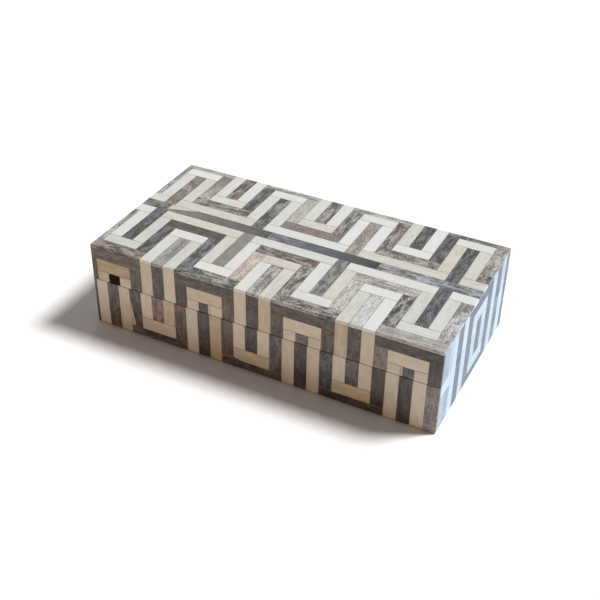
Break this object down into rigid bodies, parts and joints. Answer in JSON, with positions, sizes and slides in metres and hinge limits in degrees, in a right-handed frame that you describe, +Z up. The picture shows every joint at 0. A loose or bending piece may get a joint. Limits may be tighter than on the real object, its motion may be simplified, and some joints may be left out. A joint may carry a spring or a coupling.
{
  "type": "inlaid wooden box",
  "caption": "Low rectangular wooden box faced with strips of white and grey bone in a fret pattern, with a lid on two brass stop hinges, for keepsakes.",
  "frame": {"origin": "centre of the box's underside, without the hinge barrels that stand out at the back", "axes": "+X along the box to the right as seen from the front, -Y to the front, +Z up"},
  "size_m": [0.256, 0.1344, 0.065],
  "materials": {
    "white_bone": "polished bone, lacquered",
    "grey_bone": "polished smoked bone, streaked and porous",
    "filler_bone": "yellowed bone and glue, polished",
    "carcass_wood": "stained and waxed",
    "lining_velvet": "short velvet",
    "base_felt": "pressed felt",
    "hinge_brass": "brushed and lacquered"
  },
  "bodies": {
    "base": {"base_bottom_board": "carcass_wood", "base_front_wall": "carcass_wood", "base_back_wall": "carcass_wood", "base_left_wall": "carcass_wood", "base_right_wall": "carcass_wood", "floor_lining": "lining_velvet", "underside_felt": "base_felt", "left_hinge_base_leaf": "hinge_brass", "left_hinge_pin": "hinge_brass", "right_hinge_base_leaf": "hinge_brass", "right_hinge_pin": "hinge_brass", "base_hinge_screws": "hinge_brass", "base_front_grey_rails": "grey_bone", "base_front_white_rails": "white_bone", "base_front_grey_strips": "grey_bone", "base_front_white_strips": "white_bone", "base_back_grey_rails": "grey_bone", "base_back_white_rails": "white_bone", "base_back_grey_strips": "grey_bone", "base_back_white_strips": "white_bone", "base_left_grey_strips": "grey_bone", "base_left_white_strips": "white_bone", "base_right_grey_strips": "grey_bone", "base_right_white_strips": "white_bone", "base_filler_slivers": "filler_bone"},
    "lid": {"lid_top_board": "carcass_wood", "lid_front_wall": "carcass_wood", "lid_back_wall": "carcass_wood", "lid_left_wall": "carcass_wood", "lid_right_wall": "carcass_wood", "left_hinge_lid_leaf": "hinge_brass", "right_hinge_lid_leaf": "hinge_brass", "lid_hinge_screws": "hinge_brass", "top_centre_band": "grey_bone", "top_long_white_rails": "white_bone", "top_long_grey_rails": "grey_bone", "top_short_white_rails": "white_bone", "top_grey_posts": "grey_bone", "top_white_legs": "white_bone", "top_grey_legs": "grey_bone", "top_white_tongues": "white_bone", "top_grey_tongues": "grey_bone", "top_edge_white_rails": "white_bone", "top_edge_grey_rails": "grey_bone", "lid_front_grey_rails": "grey_bone", "lid_front_white_rails": "white_bone", "lid_front_grey_strips": "grey_bone", "lid_front_white_strips": "white_bone", "lid_back_grey_rails": "grey_bone", "lid_back_white_rails": "white_bone", "lid_back_grey_strips": "grey_bone", "lid_back_white_strips": "white_bone", "lid_left_grey_strips": "grey_bone", "lid_left_white_strips": "white_bone", "lid_right_grey_strips": "grey_bone", "lid_right_white_strips": "white_bone", "lid_filler_slivers": "filler_bone"}
  },
  "joints": [
    {"name": "lid_hinge", "type": "hinge", "parent": "base", "child": "lid", "pos_m": [0, 0.0672, 0.0374], "axis": [-1, 0, 0], "range_deg": [0, 100]}
  ]
}
